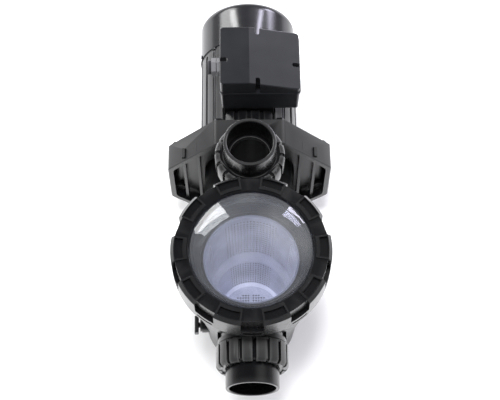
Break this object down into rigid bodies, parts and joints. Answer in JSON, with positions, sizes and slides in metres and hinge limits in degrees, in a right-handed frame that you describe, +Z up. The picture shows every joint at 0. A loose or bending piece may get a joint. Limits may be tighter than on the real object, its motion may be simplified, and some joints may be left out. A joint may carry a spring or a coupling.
{
  "type": "pool pump",
  "caption": "Self-priming swimming pool pump: strainer pot with clear lid, lock ring and basket, union couplings on both ports, finned motor with terminal box.",
  "frame": {"origin": "centre of the four floor bolt holes, on the floor plane", "axes": "+Z up, +Y from the suction union towards the motor's fan, +X to the right seen from the suction side"},
  "size_m": [0.246, 0.633, 0.348],
  "materials": {
    "housing_plastic": "semi-gloss black moulding",
    "union_plastic": "semi-gloss black moulding",
    "ring_plastic": "semi-gloss black moulding",
    "lid_clear": "clear, slightly smoky",
    "basket_plastic": "satin pale grey",
    "seal_rubber": "matte",
    "motor_black": "satin black paint on cast aluminium",
    "cowl_black": "gloss black",
    "box_plastic": "satin black moulding",
    "steel": "bright",
    "lamination": "dull",
    "copper": "varnished copper",
    "impeller_plastic": "satin",
    "fan_plastic": "matte",
    "seal_ceramic": "ground",
    "seal_carbon": "ground",
    "capacitor_can": "satin pale grey",
    "terminal_plastic": "matte",
    "gland_plastic": "glossy"
  },
  "bodies": {
    "pump": {"strainer_pot": "housing_plastic", "pump_housing": "housing_plastic", "seal_plate": "housing_plastic", "seal_plate_oring": "seal_rubber", "housing_bolts": "steel", "housing_washers": "steel", "diffuser": "impeller_plastic", "seal_seat": "seal_ceramic", "motor_frame": "motor_black", "front_end_shield": "motor_black", "rear_end_shield": "motor_black", "motor_through_bolts": "steel", "motor_flange_bolts": "steel", "stator_core": "lamination", "stator_windings": "copper", "front_bearing_outer": "steel", "rear_bearing_outer": "steel", "wave_washer": "steel", "fan_cover": "cowl_black", "fan_cover_screws": "steel", "terminal_box_base": "box_plastic", "terminal_box_cover": "box_plastic", "terminal_box_gasket": "seal_rubber", "terminal_box_screws": "steel", "terminal_block": "terminal_plastic", "run_capacitor": "capacitor_can", "cable_gland_body": "gland_plastic", "cable_gland_nut": "gland_plastic", "cable_gland_seal": "seal_rubber", "cable_gland_locknut": "gland_plastic", "pump_foot": "housing_plastic", "foot_screws": "steel", "motor_foot": "housing_plastic", "motor_foot_pad": "seal_rubber"},
    "rotor": {"motor_shaft": "steel", "rotor_core": "lamination", "impeller": "impeller_plastic", "impeller_screw": "steel", "seal_head": "seal_carbon", "seal_spring": "steel", "slinger": "seal_rubber", "fan": "fan_plastic", "front_bearing_inner": "steel", "rear_bearing_inner": "steel"},
    "lid": {"strainer_lid": "lid_clear", "lid_oring": "seal_rubber"},
    "ring": {"lock_ring": "ring_plastic"},
    "basket": {"strainer_basket": "basket_plastic"},
    "suction_union": {"suction_tailpiece": "union_plastic", "suction_oring": "seal_rubber"},
    "suction_union_nut": {"suction_nut": "union_plastic"},
    "discharge_union": {"discharge_tailpiece": "union_plastic", "discharge_oring": "seal_rubber"},
    "discharge_union_nut": {"discharge_nut": "union_plastic"},
    "strainer_drain_seal": {"strainer_drain_oring": "seal_rubber"},
    "strainer_drain": {"strainer_drain_plug": "union_plastic"},
    "volute_drain_seal": {"volute_drain_oring": "seal_rubber"},
    "volute_drain": {"volute_drain_plug": "union_plastic"}
  },
  "joints": [
    {"name": "rotor_spin", "type": "hinge", "parent": "pump", "child": "rotor", "pos_m": [0, 0, 0.138], "axis": [0, 1, 0], "continuous": true},
    {"name": "lid_lift", "type": "slide", "parent": "pump", "child": "lid", "axis": [0, 0, 1], "range_m": [0, 0.3]},
    {"name": "ring_turn", "type": "hinge", "parent": "lid", "child": "ring", "pos_m": [0, -0.208, 0.308], "axis": [0, 0, 1], "range_deg": [0, 90]},
    {"name": "basket_lift", "type": "slide", "parent": "pump", "child": "basket", "axis": [0, 0, 1], "range_m": [0, 0.256]},
    {"name": "suction_draw_off", "type": "slide", "parent": "pump", "child": "suction_union", "axis": [0, -1, 0], "range_m": [0, 0.0241]},
    {"name": "suction_nut_turn", "type": "hinge", "parent": "suction_union", "child": "suction_union_nut", "pos_m": [0, -0.32, 0.215], "axis": [0, -1, 0], "range_deg": [0, 1440]},
    {"name": "discharge_draw_off", "type": "slide", "parent": "pump", "child": "discharge_union", "axis": [0, 0, 1], "range_m": [0, 0.0241]},
    {"name": "discharge_nut_turn", "type": "hinge", "parent": "discharge_union", "child": "discharge_union_nut", "pos_m": [0, -0.0515, 0.28], "axis": [0, 0, 1], "range_deg": [0, 1440]},
    {"name": "strainer_drain_back_off", "type": "slide", "parent": "pump", "child": "strainer_drain_seal", "axis": [-1, 0, 0], "range_m": [0, 0.014]},
    {"name": "strainer_drain_turn", "type": "hinge", "parent": "strainer_drain_seal", "child": "strainer_drain", "pos_m": [-0.0755, -0.238, 0.107], "axis": [-1, 0, 0], "range_deg": [0, 2540]},
    {"name": "volute_drain_back_off", "type": "slide", "parent": "pump", "child": "volute_drain_seal", "axis": [-1, 0, 0], "range_m": [0, 0.014]},
    {"name": "volute_drain_turn", "type": "hinge", "parent": "volute_drain_seal", "child": "volute_drain", "pos_m": [-0.064, -0.052, 0.094], "axis": [-1, 0, 0], "range_deg": [0, 2540]}
  ],
  "couplings": [
    {"joint": "basket_lift", "follows": "lid_lift", "ratio": 0.85},
    {"joint": "suction_draw_off", "follows": "suction_nut_turn", "m_per_rad": 0.00095493},
    {"joint": "discharge_draw_off", "follows": "discharge_nut_turn", "m_per_rad": 0.00095493},
    {"joint": "strainer_drain_turn", "follows": "strainer_drain_back_off", "rad_per_m": 3141.6},
    {"joint": "volute_drain_turn", "follows": "volute_drain_back_off", "rad_per_m": 3141.6}
  ]
}
